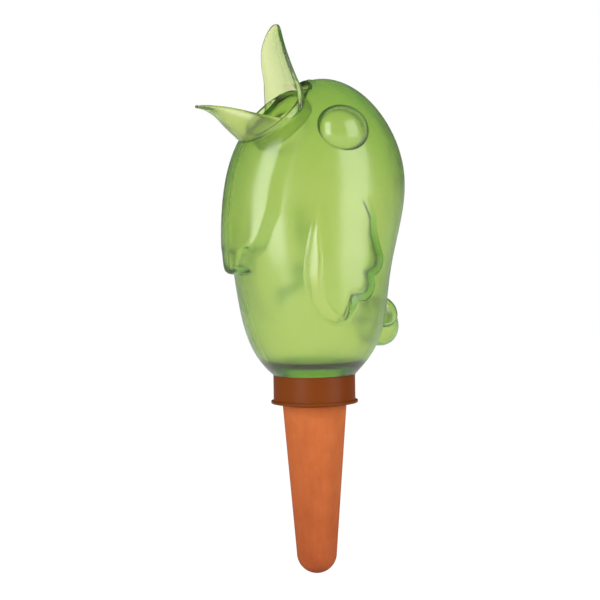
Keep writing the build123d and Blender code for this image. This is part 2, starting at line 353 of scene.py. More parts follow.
def curve_through(points, steps=8):
    """A smooth curve through the points, as a row of points."""
    points = np.array(points, float)
    padded = np.vstack([2 * points[0] - points[1], points, 2 * points[-1] - points[-2]])
    row = []
    for before, start, end, after in zip(padded, padded[1:], padded[2:], padded[3:]):
        for t in np.arange(steps) / steps:
            bend = (2 * before - 5 * start + 4 * end - after) * t ** 2
            twist = (3 * (start - end) + after - before) * t ** 3
            row.append(start + 0.5 * ((end - before) * t + bend + twist))
    return np.array(row + [points[-1]])


def arc_through(start, middle, end, steps=8):
    """The arc of a circle through three points, as a row of points."""
    (ax, ay), (bx, by), (cx, cy) = start, middle, end
    across = 2 * (ax * (by - cy) + bx * (cy - ay) + cx * (ay - by))
    a, b, c = ax * ax + ay * ay, bx * bx + by * by, cx * cx + cy * cy
    centre = np.array([a * (by - cy) + b * (cy - ay) + c * (ay - by),
                       a * (cx - bx) + b * (ax - cx) + c * (bx - ax)]) / across
    first, through, last = (np.arctan2(*(np.array(p) - centre)[::-1]) for p in (start, middle, end))
    turn = (last - first) % (2 * pi)
    if (through - first) % (2 * pi) > turn:
        turn -= 2 * pi
    radius = np.hypot(*(np.array(start) - centre))
    angles = first + turn * np.arange(1, steps + 1) / steps
    return centre + radius * np.stack([np.cos(angles), np.sin(angles)], 1)


def inside_distance(points, outline):
    """How far each point lies inside the closed outline, negative outside it."""
    nearest = np.full(len(points), np.inf)
    inside = np.zeros(len(points), bool)
    for start, end in zip(outline, np.roll(outline, -1, axis=0)):
        side = end - start
        if not side.any():
            continue
        share = np.clip((points - start) @ side / (side @ side), 0, 1)
        gap = points - start - share[:, None] * side
        nearest = np.minimum(nearest, np.hypot(gap[:, 0], gap[:, 1]))
        crosses = (start[1] > points[:, 1]) != (end[1] > points[:, 1])
        along = start[0] + (points[:, 1] - start[1]) * side[0] / (side[1] or 1)
        inside ^= crosses & (points[:, 0] < along)
    return np.where(inside, nearest, -nearest)


# The body's form

def fitted_sections():
    """Smooth curves for the body's squared half depth, squared half width and centre along Y."""
    rows = np.array([(0, 0, 2 * NECK_RADIUS / BODY_DEPTH, 2 * NECK_RADIUS / BODY_WIDTH)]
                    + BODY_SECTIONS + [(1, APEX_SHARE, 0, 0)])
    ends_first = np.ones(len(rows))
    ends_first[[0, -1]] = ENDS_WEIGHT
    depth = np.polyfit(rows[:, 0], (rows[:, 2] * BODY_DEPTH / 2) ** 2, SIZE_DEGREE, w=ends_first)
    width = np.polyfit(rows[:, 0], (rows[:, 3] * BODY_WIDTH / 2) ** 2, SIZE_DEGREE, w=ends_first)
    centre = np.polyfit(rows[:, 0], rows[:, 1] * BODY_DEPTH, CENTRE_DEGREE)
    return centre, depth, width


CENTRE_CURVE, DEPTH_CURVE, WIDTH_CURVE = fitted_sections()


def body_at(z, inset=0.0):
    """Centre along Y, half depth and half width of the body at these heights."""
    share = np.clip((z - BODY_BASE) / (BODY_HEIGHT - inset), 0, 1)
    half_depth = np.sqrt(np.maximum(np.polyval(DEPTH_CURVE, share), 0)) - inset
    half_width = np.sqrt(np.maximum(np.polyval(WIDTH_CURVE, share), 0)) - inset
    return np.polyval(CENTRE_CURVE, share), half_depth, half_width


def reach_of_body(origins, directions, inset, bib=False):
    """How far a line from inside the body runs until it leaves the egg, or the bib's deeper egg."""
    near = np.zeros(len(origins))
    far = np.full(len(origins), 2.0 * BODY_HEIGHT)
    for _ in range(HALVINGS):
        middle = (near + far) / 2
        x, y, z = (origins + middle[:, None] * directions).T
        centre, half_depth, half_width = body_at(z, inset)
        if bib:
            half_depth = half_depth + np.interp(z, BIB_HEIGHTS, BIB_PROUD)
            half_width = half_width - BIB_NARROWER
        half_depth = np.maximum(half_depth, LEAST_HALF_SIZE)
        half_width = np.maximum(half_width, LEAST_HALF_SIZE)
        within = (x / half_width) ** 2 + ((y - centre) / half_depth) ** 2 < 1
        within &= z < BODY_BASE + BODY_HEIGHT - inset
        near, far = np.where(within, middle, near), np.where(within, far, middle)
    return near


def bib_share(x, y, z, inset):
    """1 on the raised breast, 0 off it, with the scalloped riser between."""
    x, z = np.abs(x) + inset, z - inset
    lobe = soft_min(z - BIB_LOBE_Z, BIB_LOBE_HALF_WIDTH - x, BIB_CORNER)
    side = np.interp(z, BIB_HEIGHTS, BIB_HALF_WIDTH) + BIB_SIDE_RISER / 2 - x
    upper = soft_min(z - BIB_SIDE_Z, side * BIB_RISER / BIB_SIDE_RISER, BIB_CORNER)
    inside = soft_max(lobe, upper, BIB_CORNER / 2)
    return soft_ramp(inside / BIB_RISER + 0.5) * (y < 0)


def wing_outline():
    """The wing seen from the side, as (Y, Z) points: front edge, feathers, back edge and crest."""
    def place(shares):
        return np.array(shares) * (WING_WIDTH, WING_LENGTH) + (WING_Y, WING_TIP_Z)

    parts = [curve_through([place(p) for p in WING_FRONT])]
    for bulge, notch in WING_FEATHERS:
        parts.append(arc_through(parts[-1][-1], place(bulge), place(notch)))
    parts.append(curve_through([place(p) for p in WING_BACK]))
    crest, front = WING_CREST
    parts.append(arc_through(parts[-1][-1], place(crest), place(front)))
    return np.vstack(parts)


def wing_rise(x, y, z, hollow):
    """How far the wing stands out of the body: a long slope in front, scalloped feathers behind.

    Outside, a bead runs along the foot of the slope and a groove along its crest. The hollow's form
    is rounder and leaves the feathers' edge solid, with a rib behind it.
    """
    inside = inside_distance(np.stack([y, z], 1), wing_outline())
    front = soft_ramp(0.5 - (y - WING_MIDDLE_Y) / WING_MIDDLE_WIDTH)
    slope = WING_BACK_SLOPE + (WING_FRONT_SLOPE - WING_BACK_SLOPE) * front
    edge = WING_EDGE_WALL if hollow else -WING_PROUD / WING_BACK_SLOPE / 2
    blend = WING_HOLLOW_BLEND if hollow else WING_BLEND
    fade = np.clip((WING_FADE_Z - z) / WING_FADE_LENGTH, 0, 1)
    beside = np.clip(np.abs(x) / (BODY_WIDTH / 4) - 0.5, 0, 1)
    rise = soft_min(slope * (inside - edge * (1 - front)), WING_PROUD * fade, blend)
    rise = soft_max(rise, 0, blend) - blend / 2
    if hollow:
        rib_middle = WING_EDGE_WALL / 2
        rise = rise - WING_RIB * (1 - front) * fade * bell(inside - rib_middle, rib_middle)
    else:
        crest = WING_PROUD * fade / WING_FRONT_SLOPE
        rise = rise + WING_BEAD * front * fade * bell(inside, WING_BEAD_WIDTH)
        rise = rise - WING_GROOVE * front * fade * bell(inside - crest, WING_BEAD_WIDTH)
    return rise * beside * (fade > 0)


def reach_to_slope(origins, directions, slope, height):
    """How far each line runs up to the plane z = height + slope * y, or very far if it hardly rises."""
    rise = directions[:, 2] - directions[:, 1] * slope
    return np.where(rise > LEAST_RISE, (height - origins[:, 2]) / np.maximum(rise, LEAST_RISE), FAR)


def face_limit(origins, directions):
    """How far each line runs to the face in front of the throat, steep above its bend and flatter below.

    A line that ends behind the crown's round step soon runs free.
    """
    steep, low = tan(FACE_SLOPE), tan(FACE_LOW_SLOPE)
    steep_height = FACE_TOP - BROW_Y * steep
    low_height = FACE_TOP + (FACE_BEND_Y - BROW_Y) * steep - FACE_BEND_Y * low
    reach = np.maximum(reach_to_slope(origins, directions, steep, steep_height),
                       reach_to_slope(origins, directions, low, low_height))
    behind = reach * directions[:, 1] - (CROWN_FRONT_Y - CROWN_FRONT_RADIUS - FACE_RIM)
    return reach + BEHIND_FACE * np.maximum(behind, 0)


def reach_of_form(origins, directions, hollow):
    """How far each line runs to the outside of the bird without eyes, beak and tail, or to its hollow."""
    inset = WALL if hollow else 0
    reach = reach_of_body(origins, directions, inset)
    bib = reach_of_body(origins, directions, inset, bib=True)
    place = origins + reach[:, None] * directions
    reach = reach + bib_share(*place.T, inset) * np.maximum(bib - reach, 0)
    reach = reach + wing_rise(*place.T, hollow)
    if not hollow:
        return soft_min(reach, face_limit(origins, directions) - FACE_SPARE, FACE_RIM)
    floor_z = BODY_BASE + BODY_FLOOR
    down = np.where(directions[:, 2] < -LEAST_FALL, -directions[:, 2], LEAST_FALL)
    return soft_min(reach, (origins[:, 2] - floor_z) / down, FLOOR_ROUNDING)


def measured_out(grid, hollow):
    """A closed skin: a grid wrapped round the core, whose vertices move out until they lie on the form."""
    rings, segments = grid
    bm = bmesh.new()
    bmesh.ops.create_grid(bm, x_segments=int(segments * FINE) // 4 * 4, y_segments=int(rings * FINE),
                          size=1)
    turn, fall = np.array([v.co.xy for v in bm.verts]).T
    turn, fall = pi * turn, pi * (fall + 1) / 2
    directions = np.stack([np.sin(turn) * np.sin(fall), -np.cos(turn) * np.sin(fall), np.cos(fall)], 1)
    origins = np.zeros_like(directions)
    origins[:, 2] = CORE_Z + CORE_HALF * directions[:, 2]
    reach = reach_of_form(origins, directions, hollow)
    for vert, spot in zip(bm.verts, origins + reach[:, None] * directions):
        vert.co = spot
    bmesh.ops.remove_doubles(bm, verts=bm.verts, dist=SKIN_WELD)
    if not hollow:
        cut_level(bm, BODY_BASE)
    return bm


def cut_level(bm, z):
    """Cuts off what lies below this height and closes the hole."""
    everything = bm.verts[:] + bm.edges[:] + bm.faces[:]
    cut = bmesh.ops.bisect_plane(bm, geom=everything, plane_co=(0, 0, z), plane_no=(0, 0, 1),
                                 clear_inner=True)
    rim = [e for e in cut["geom_cut"] if isinstance(e, bmesh.types.BMEdge)]
    bmesh.ops.edgeloop_fill(bm, edges=rim)


# Making and joining solids

def new_piece(name, bm):
    """An object at the origin from a bmesh in millimetres, which stays in millimetres."""
    bmesh.ops.remove_doubles(bm, verts=bm.verts, dist=WELD)
    bmesh.ops.recalc_face_normals(bm, faces=bm.faces)
    mesh = bpy.data.meshes.new(name)
    bm.to_mesh(mesh)
    bm.free()
    piece = bpy.data.objects.new(name, mesh)
    bpy.context.scene.collection.objects.link(piece)
    return piece


def combine(piece, tool, operation):
    """Adds the tool to the piece, cuts it out or keeps what both share, and removes the tool."""
    boolean = piece.modifiers.new("combine", "BOOLEAN")
    boolean.operation = operation
    boolean.solver = "MANIFOLD"
    boolean.object = tool
    bpy.context.view_layer.update()
    depsgraph = bpy.context.evaluated_depsgraph_get()
    result = bpy.data.meshes.new_from_object(piece.evaluated_get(depsgraph))
    old = piece.data
    piece.modifiers.clear()
    piece.data = result
    bpy.data.meshes.remove(old)
    bpy.data.objects.remove(tool)
    return piece


def slab(outline, half_width):
    """A slab across the middle with an outline of (Y, Z) points."""
    bm = bmesh.new()
    face = bm.faces.new([bm.verts.new((-half_width, y, z)) for y, z in outline])
    grown = bmesh.ops.extrude_face_region(bm, geom=[face])["geom"]
    moved = [v for v in grown if isinstance(v, bmesh.types.BMVert)]
    bmesh.ops.translate(bm, verts=moved, vec=(2 * half_width, 0, 0))
    return bm


def turned(profile, segments=ROUND_SEGMENTS, round_off=0.0):
    """A solid of revolution round Z from a closed profile of (radius, height) points."""
    bm = bmesh.new()
    corners = [bm.verts.new((radius, 0, z)) for radius, z in profile]
    for pair in zip(corners, corners[1:] + corners[:1]):
        bm.edges.new(pair)
    if round_off:
        bmesh.ops.bevel(bm, geom=corners, offset=round_off, segments=4, profile=0.5,
                        affect="VERTICES", material=-1)
    bmesh.ops.spin(bm, geom=bm.verts[:] + bm.edges[:], cent=(0, 0, 0), axis=(0, 0, 1),
                   angle=2 * pi, steps=segments, use_merge=True)
    bmesh.ops.remove_doubles(bm, verts=bm.verts, dist=WELD)
    return bm


def ball(radii, place):
    """A ball with three radii, turned and placed by a matrix."""
    rings, segments = BALL_GRID
    bm = bmesh.new()
    bmesh.ops.create_uvsphere(bm, u_segments=segments, v_segments=rings, radius=1)
    bmesh.ops.transform(bm, matrix=place @ Matrix.Diagonal((*radii, 1)), verts=bm.verts)
    return bm


def egg_point(y, z):
    """Where the body's side is, on the bird's left, at this place along Y and height."""
    centre, half_depth, half_width = body_at(np.array([float(z)]))
    x = half_width[0] * np.sqrt(1 - ((y - centre[0]) / half_depth[0]) ** 2)
    return Vector((x, y, z))


def eye_dome(side, inset):
    """The dome of one eye, tilted up with the side of the head; side is 1 for left, -1 for right."""
    spot = egg_point(EYE_Y, BODY_BASE + BODY_HEIGHT - EYE_DROP)
    place = Matrix.Translation(spot) @ Matrix.Rotation(-EYE_TILT, 4, "Y")
    place = place @ Matrix.Translation((EYE_PROUD - EYE_RADII[0], 0, 0))
    bm = ball([radius - inset for radius in EYE_RADII], place)
    if side < 0:
        bmesh.ops.scale(bm, vec=(-1, 1, 1), verts=bm.verts)
    return bm


def feather(x, rise, reach, share, inset):
    """One rounded tail feather, drooping to the back."""
    z = BODY_BASE + rise
    centre, half_depth, _ = body_at(np.array([z]))
    tip_y = centre[0] + half_depth[0] + reach
    place = Matrix.Translation((x, tip_y - FEATHER_RADII[1] * share, z))
    place = place @ Matrix.Rotation(-FEATHER_DROOP, 4, "X")
    return ball([radius * share - inset for radius in FEATHER_RADII], place)


def tail(inset):
    """The middle feather and the smaller one on each side of it."""
    sides = [feather(side * TAIL_SIDE_X, TAIL_SIDE_RISE, TAIL_SIDE_REACH, TAIL_SIDE_SHARE, inset)
             for side in (1, -1)]
    return [feather(0, TAIL_MIDDLE_RISE, TAIL_MIDDLE_REACH, 1, inset)] + sides


def face_cutter(inset):
    """What is cleared for the beak: above the brow and the sloping face, up to the crown's round step."""
    step_z = FACE_TOP - inset
    edge_y = BROW_Y + inset * (1 / cos(FACE_SLOPE) - 1) / tan(FACE_SLOPE)
    front_y, back_y, top_z = -2 * BODY_DEPTH, BODY_DEPTH, 2 * BODY_HEIGHT
    steep, low = tan(FACE_SLOPE), tan(FACE_LOW_SLOPE)
    bend_y = FACE_BEND_Y + inset * (1 / cos(FACE_SLOPE) - 1 / cos(FACE_LOW_SLOPE)) / (steep - low)
    bend_z = step_z + (bend_y - edge_y) * steep
    outline = [(back_y, step_z), (back_y, top_z), (front_y, top_z),
               (front_y, bend_z + (front_y - bend_y) * low), (bend_y, bend_z), (edge_y, step_z)]
    above = new_piece("face_cut", slab(outline, BODY_WIDTH))
    centre_y = CROWN_FRONT_Y - CROWN_FRONT_RADIUS
    middle = Matrix.Translation((0, centre_y, 0))
    step = new_piece("round_step", bore(CROWN_FRONT_RADIUS + inset, 0, top_z, middle))
    before = bmesh.new()
    size = Matrix.Diagonal((4 * BODY_WIDTH, -2 * front_y, 2 * top_z, 1))
    bmesh.ops.create_cube(before, size=1, matrix=Matrix.Translation((0, centre_y + front_y, 0)) @ size)
    return combine(above, combine(step, new_piece("before", before), "UNION"), "INTERSECT")


def face_place():
    """The turn and place of the throat: its middle on the face, its axis square to the face."""
    z = FACE_TOP + (THROAT_Y - BROW_Y) * tan(FACE_SLOPE)
    return Matrix.Translation((0, THROAT_Y, z)) @ Matrix.Rotation(FACE_SLOPE, 4, "X")


def throat_ring():
    """The round rim of the throat, which stands square to the face."""
    inner = THROAT_OUTER - THROAT_WALL
    profile = [(inner, -THROAT_SKIRT), (THROAT_OUTER, -THROAT_SKIRT),
               (THROAT_OUTER, THROAT_RIM), (inner, THROAT_RIM)]
    bm = turned(profile, round_off=THROAT_ROUNDING)
    bmesh.ops.transform(bm, matrix=face_place(), verts=bm.verts)
    return bm


def bore(radius, low, high, place=Matrix.Identity(4)):
    """A round bar along Z, turned and placed by a matrix."""
    bm = bmesh.new()
    middle = Matrix.Translation((0, 0, (low + high) / 2))
    bmesh.ops.create_cone(bm, cap_ends=True, segments=ROUND_SEGMENTS, radius1=radius, radius2=radius,
                          depth=high - low, matrix=place @ middle)
    return bm


def trough(sections, spots):
    """Half of the beak: a trough with round rims, lofted through its sections.

    A section is (place along, half width, rim, ridge); spots puts (x, across, along) in the frame.
    """
    smooth = curve_through(sections, steps=24)
    along, around = BEAK_GRID
    bm = bmesh.new()
    bmesh.ops.create_grid(bm, x_segments=int(around * FINE), y_segments=int(along * FINE), size=1)
    for vert in bm.verts:
        turn, way = (vert.co.x + 1) / 2, (vert.co.y + 1) / 2
        row = (1 - (1 - way) ** BEAK_TIP_CROWDING) * (len(smooth) - 1)
        place, half_width, rim, ridge = (np.interp(row, range(len(smooth)), line) for line in smooth.T)
        x, rise = trough_point(turn, half_width, abs(ridge - rim))
        vert.co = spots(x, rim + rise * np.sign(ridge - rim), place)
    bmesh.ops.remove_doubles(bm, verts=bm.verts, dist=WELD)
    bmesh.ops.holes_fill(bm, edges=[e for e in bm.edges if e.is_boundary])
    return bm


def trough_point(turn, half_width, depth):
    """A point of a thick half ellipse: round the outside, over a rim, back inside and over the other.

    The wall thins where it would be more than a share of the trough's half width or depth.
    """
    width_share, depth_share = BEAK_WALL_SHARES
    thick = min(BEAK_WALL, width_share * half_width, depth_share * depth)
    base, side = thick / 2, half_width - thick / 2
    if turn < 0.5 - BEAK_RIM_TURN:
        angle = pi * turn / (0.5 - BEAK_RIM_TURN)
        return half_width * cos(angle), base + (depth - base) * sin(angle)
    if turn < 0.5:
        angle = pi * (1 + (turn - 0.5 + BEAK_RIM_TURN) / BEAK_RIM_TURN)
        return -side + base * cos(angle), base + base * sin(angle)
    if turn < 1 - BEAK_RIM_TURN:
        angle = pi * (turn - 0.5) / (0.5 - BEAK_RIM_TURN)
        return -(half_width - thick) * cos(angle), base + (depth - thick - base) * sin(angle)
    angle = pi * (1 + (turn - 1 + BEAK_RIM_TURN) / BEAK_RIM_TURN)
    return side + base * cos(angle), base + base * sin(angle)


def upper_beak():
    """The upright half of the beak, which runs up from the face."""
    sections = [(FACE_TOP + rise * UPPER_BEAK_HEIGHT, width * BEAK_WIDTH / 2,
                 rim * UPPER_BEAK_DEPTH, ridge * UPPER_BEAK_DEPTH)
                for rise, width, rim, ridge in UPPER_BEAK_SECTIONS]
    return trough(sections, lambda x, across, along: (x, across, along))


def lower_beak():
    """The half of the beak that runs forward."""
    sections = [(-reach * LOWER_BEAK_REACH, width * BEAK_WIDTH / 2,
                 BEAK_CORNER + rim * LOWER_BEAK_DEPTH, BEAK_CORNER + keel * LOWER_BEAK_DEPTH)
                for reach, width, rim, keel in LOWER_BEAK_SECTIONS]
    return trough(sections, lambda x, across, along: (x, along, across))


# The bird's two half shells

def bird_outside():
    """The bird as if it were solid: body, eyes, tail, face and beak."""
    outside = new_piece("outside", measured_out(SKIN_GRID, hollow=False))
    for bm in [eye_dome(1, 0), eye_dome(-1, 0)] + tail(0):
        combine(outside, new_piece("grown", bm), "UNION")
    combine(outside, face_cutter(0), "DIFFERENCE")
    combine(outside, new_piece("upper_beak", upper_beak()), "UNION")
    return combine(outside, new_piece("lower_beak", lower_beak()), "UNION")


def bird_hollow():
    """The room inside the walls."""
    hollow = new_piece("hollow", measured_out(HOLLOW_GRID, hollow=True))
    for side in (1, -1):
        combine(hollow, new_piece("eye_hollow", eye_dome(side, WALL)), "UNION")
    for bm in tail(WALL):
        combine(hollow, new_piece("tail_hollow", bm), "UNION")
    return combine(hollow, face_cutter(FACE_WALL), "DIFFERENCE")


def whole_bird():
    """The bird before it is split, with its throat and its spigot."""
    bird = combine(bird_outside(), bird_hollow(), "DIFFERENCE")
    throat = bore(THROAT_OUTER - THROAT_WALL / 2, -THROAT_SKIRT, THROAT_SKIRT, face_place())
    combine(bird, new_piece("throat", throat), "DIFFERENCE")
    combine(bird, new_piece("throat_ring", throat_ring()), "UNION")
    sump = bore(SPIGOT_BORE + SPIGOT_SPARE, BODY_BASE - BODY_FLOOR, BODY_BASE + 2 * BODY_FLOOR)
    combine(bird, new_piece("sump", sump), "DIFFERENCE")
    spigot = turned([(SPIGOT_BORE, SPIGOT_END), (SPIGOT_RADIUS, SPIGOT_END),
                     (SPIGOT_RADIUS, BODY_BASE + BODY_FLOOR / 2), (SPIGOT_BORE, BODY_BASE + BODY_FLOOR)])
    return combine(bird, new_piece("spigot", spigot), "UNION")


def finished(piece, material, body):
    """Takes a piece to metres and gives it its shading, finish and body."""
    piece.data.transform(Matrix.Scale(MM, 4))
    piece.data.shade_smooth()
    piece.data.set_sharp_from_angle(angle=SHARP_ANGLE)
    piece.data.materials.clear()
    piece.data.materials.append(material)
    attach(piece, body)


def half_shells(material):
    """The bird split along the middle, with a fine gap between its two halves."""
    bird = whole_bird()
    for name, side in (("shell_left", 1), ("shell_right", -1)):
        half = bpy.data.objects.new(name + "_skin", bird.data.copy())
        bpy.context.scene.collection.objects.link(half)
        room = bmesh.new()
        middle = Matrix.Translation((side * (FAR / 2 + SEAM_GAP), 0, 0))
        bmesh.ops.create_cube(room, size=FAR, matrix=middle)
        combine(half, new_piece("room", room), "INTERSECT")
        finished(half, material, "globe")
        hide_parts(name)
    bpy.data.objects.remove(bird)


# Collar and cone

def collar_ring(material):
    """The brown ring round the spigot, with its thin lip and the ledge that holds the cone."""
    profile = [(COLLAR_HOLE, -COLLAR_UNDER), (COLLAR_LIP_RADIUS, 0),
               (COLLAR_LIP_RADIUS, COLLAR_LIP_HEIGHT), (COLLAR_RADIUS, COLLAR_LIP_HEIGHT),
               (COLLAR_RADIUS, COLLAR_HEIGHT), (COLLAR_BORE, COLLAR_HEIGHT),
               (COLLAR_BORE, COLLAR_LEDGE), (COLLAR_HOLE, COLLAR_LEDGE)]
    piece = new_piece("collar_ring", turned(profile, COLLAR_SEGMENTS, COLLAR_ROUNDING))
    finished(piece, material, "collar")
    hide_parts("collar")


def clay_spike(material):
    """The clay cone, hollow, with a round end and its flange in the collar."""
    tip_z = CONE_TIP_RADIUS - CONE_LENGTH
    lean = (CONE_TOP_RADIUS - CONE_TIP_RADIUS) / (COLLAR_LEDGE - tip_z)
    quarter = [radians(angle) for angle in range(0, 91, 6)]

    def side(cut, top_z):
        tip = CONE_TIP_RADIUS - cut
        end = [(max(tip * cos(a), CONE_END_RADIUS), tip_z - tip * sin(a)) for a in reversed(quarter)]
        return end + [(tip + lean * (top_z - tip_z), top_z)]

    outer = side(0, COLLAR_LEDGE)
    inner = side(CONE_WALL, CONE_MOUTH)
    profile = outer + [(CONE_FLANGE_RADIUS, COLLAR_LEDGE), (CONE_FLANGE_RADIUS, CONE_MOUTH)] + inner[::-1]
    piece = new_piece("clay_spike", turned(profile))
    finished(piece, material, "spike")
    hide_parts("clay_cone")


# Materials. Patterns are in object coordinates, in metres, so a scale is the number of spots to a metre.

def new_material(name):
    """A material, its node tree and its shader."""
    material = bpy.data.materials.new(name)
    material.use_nodes = True
    return material, material.node_tree, material.node_tree.nodes["Principled BSDF"]


def object_place(tree):
    """Where a point of the surface lies in its object, in metres."""
    return tree.nodes.new("ShaderNodeTexCoord").outputs["Object"]


def feed(tree, socket, source):
    """Feeds a socket from a node's output, or gives it a fixed colour or number."""
    if isinstance(source, bpy.types.NodeSocket):
        tree.links.new(source, socket)
    else:
        socket.default_value = (*source, 1) if isinstance(source, tuple) else source


def noise(tree, place, scale, detail, rough):
    """A soft, uneven pattern of values round a half."""
    texture = tree.nodes.new("ShaderNodeTexNoise")
    feed(tree, texture.inputs["Scale"], scale)
    texture.inputs["Detail"].default_value = detail
    texture.inputs["Roughness"].default_value = rough
    tree.links.new(place, texture.inputs["Vector"])
    return texture.outputs["Fac"]


def mask(tree, value, low, high):
    """0 where the value is low or beyond it, 1 where it is high or beyond it, and even between."""
    stretch = tree.nodes.new("ShaderNodeMapRange")
    stretch.inputs["From Min"].default_value = low
    stretch.inputs["From Max"].default_value = high
    tree.links.new(value, stretch.inputs["Value"])
    return stretch.outputs["Result"]


def value_between(tree, share, first, second):
    """The first value where the share is 0, the second where it is 1."""
    stretch = tree.nodes.new("ShaderNodeMapRange")
    stretch.inputs["To Min"].default_value = first
    stretch.inputs["To Max"].default_value = second
    tree.links.new(share, stretch.inputs["Value"])
    return stretch.outputs["Result"]


def combined(tree, operation, first, second):
    """One step of arithmetic on two values."""
    step = tree.nodes.new("ShaderNodeMath")
    step.operation = operation
    tree.links.new(first, step.inputs[0])
    tree.links.new(second, step.inputs[1])
    return step.outputs[0]


def add_bump(tree, height, distance, below=None):
    """A normal bent by a height, on top of another normal where there is one."""
    bump = tree.nodes.new("ShaderNodeBump")
    bump.inputs["Distance"].default_value = distance
    bump.inputs["Strength"].default_value = 1.0
    tree.links.new(height, bump.inputs["Height"])
    if below:
        tree.links.new(below, bump.inputs["Normal"])
    return bump.outputs["Normal"]


def colour_between(tree, share, first, second, blend="MIX"):
    """Mixes two colours, each one a fixed colour or the output of a node."""
    mix = tree.nodes.new("ShaderNodeMix")
    mix.data_type = "RGBA"
    mix.blend_type = blend
    tree.links.new(share, mix.inputs["Factor"])
    feed(tree, mix.inputs["A"], first)
    feed(tree, mix.inputs["B"], second)
    return mix.outputs["Result"]


def moulding_marks():
    """Masks shared by the plastics: tiny trapped bubbles as specks that carry painted glints, fine grain
    and slow waves of the mould.
    """
    group = bpy.data.node_groups.new("moulding_marks", "ShaderNodeTree")
    for label in ("Bubble Glint Scale", "Grain Scale", "Wave Scale"):
        group.interface.new_socket(label, in_out="INPUT", socket_type="NodeSocketFloat")
    for label in ("Glint Specks", "Grain", "Waves"):
        group.interface.new_socket(label, in_out="OUTPUT", socket_type="NodeSocketFloat")
    scales = group.nodes.new("NodeGroupInput").outputs
    result = group.nodes.new("NodeGroupOutput")
    place = object_place(group)
    cells = group.nodes.new("ShaderNodeTexVoronoi")
    feed(group, cells.inputs["Scale"], scales["Bubble Glint Scale"])
    cells.inputs["Randomness"].default_value = 1.0
    group.links.new(place, cells.inputs["Vector"])
    spots = mask(group, cells.outputs["Distance"], low=0.13, high=0.06)
    patches = mask(group, noise(group, place, *PATCHES), low=0.44, high=0.56)
    group.links.new(combined(group, "MULTIPLY", spots, patches), result.inputs["Glint Specks"])
    group.links.new(noise(group, place, scales["Grain Scale"], *GRAIN), result.inputs["Grain"])
    group.links.new(noise(group, place, scales["Wave Scale"], *WAVES), result.inputs["Waves"])
    return group


def plastic(name, scales, tints, glint_speck, depth_colour, density, roughness, transmission, specular):
    """Tinted plastic with waves, grain and specks painted pale as glints, and a colour that deepens with
    its thickness.
    """
    material, tree, shader = new_material(name)
    marks = tree.nodes.new("ShaderNodeGroup")
    marks.node_tree = bpy.data.node_groups.get("moulding_marks") or moulding_marks()
    for label, scale in scales.items():
        marks.inputs[label].default_value = scale
    waves, grain, glint_specks = (marks.outputs[label] for label in ("Waves", "Grain", "Glint Specks"))
    crests = mask(tree, waves, low=0.3, high=0.7)
    tint = colour_between(tree, crests, *tints)
    # Bubbles show as specks of a paler colour, a painted glint that stands in for light sparkling on them.
    tree.links.new(colour_between(tree, glint_specks, tint, glint_speck), shader.inputs["Base Color"])
    tree.links.new(value_between(tree, crests, *roughness), shader.inputs["Roughness"])
    rippled = add_bump(tree, waves, WAVE_DEPTH)
    tree.links.new(add_bump(tree, grain, GRAIN_DEPTH, rippled), shader.inputs["Normal"])
    shader.inputs["IOR"].default_value = PLASTIC_IOR
    shader.inputs["Transmission Weight"].default_value = transmission
    shader.inputs["Specular IOR Level"].default_value = specular
    absorb = tree.nodes.new("ShaderNodeVolumeAbsorption")
    absorb.inputs["Color"].default_value = (*depth_colour, 1)
    absorb.inputs["Density"].default_value = density
    tree.links.new(absorb.outputs["Volume"], tree.nodes["Material Output"].inputs["Volume"])
    return material


def terracotta():
    """Unglazed clay: mottled colour, upright smears from the mould, pores, and darker towards the tip."""
    material, tree, shader = new_material("terracotta_clay")
    place = object_place(tree)
    mottle = mask(tree, noise(tree, place, *MOTTLE), low=0.32, high=0.68)
    upright = tree.nodes.new("ShaderNodeMapping")
    upright.inputs["Scale"].default_value = (1, 1, SMEAR_SQUEEZE)
    tree.links.new(place, upright.inputs["Vector"])
    smears = mask(tree, noise(tree, upright.outputs["Vector"], *SMEARS), low=0.35, high=0.7)
    height = tree.nodes.new("ShaderNodeSeparateXYZ")
    tree.links.new(place, height.inputs["Vector"])
    # The clay darkens from the collar down to the cone's tip.
    toward_tip = mask(tree, height.outputs["Z"], low=0, high=-CONE_LENGTH * MM)
    upper_clay = colour_between(tree, mottle, *UPPER_CLAY)
    lower_clay = colour_between(tree, mottle, *LOWER_CLAY)
    clay = colour_between(tree, toward_tip, upper_clay, lower_clay)
    smear_share = value_between(tree, smears, 0, SMEAR_SHARE)
    smeared = colour_between(tree, smear_share, clay, CLAY_SMEAR, "MULTIPLY")
    tree.links.new(smeared, shader.inputs["Base Color"])
    tree.links.new(value_between(tree, mottle, *CLAY_ROUGHNESS), shader.inputs["Roughness"])
    pores = add_bump(tree, noise(tree, place, *PORES), PORE_DEPTH)
    tree.links.new(add_bump(tree, smears, SMEAR_DEPTH, pores), shader.inputs["Normal"])
    shader.inputs["Specular IOR Level"].default_value = CLAY_SPECULAR
    return material


def rubber():
    """Dull black rubber with a fine grain and a little dust."""
    material, tree, shader = new_material("black_rubber")
    place = object_place(tree)
    dust = mask(tree, noise(tree, place, *DUST), low=0.4, high=0.7)
    tree.links.new(colour_between(tree, dust, *RUBBER_DUST), shader.inputs["Base Color"])
    tree.links.new(value_between(tree, dust, *RUBBER_ROUGHNESS), shader.inputs["Roughness"])
    grain = noise(tree, place, *RUBBER_GRAIN)
    tree.links.new(add_bump(tree, grain, RUBBER_DEPTH), shader.inputs["Normal"])
    return material


# Camera, lights and floor

def toward(azimuth, rise):
    """The direction from the object to a place round it: 0 is in front of its face, 90 its left side."""
    return Vector((sin(azimuth) * cos(rise), -cos(azimuth) * cos(rise), sin(rise)))


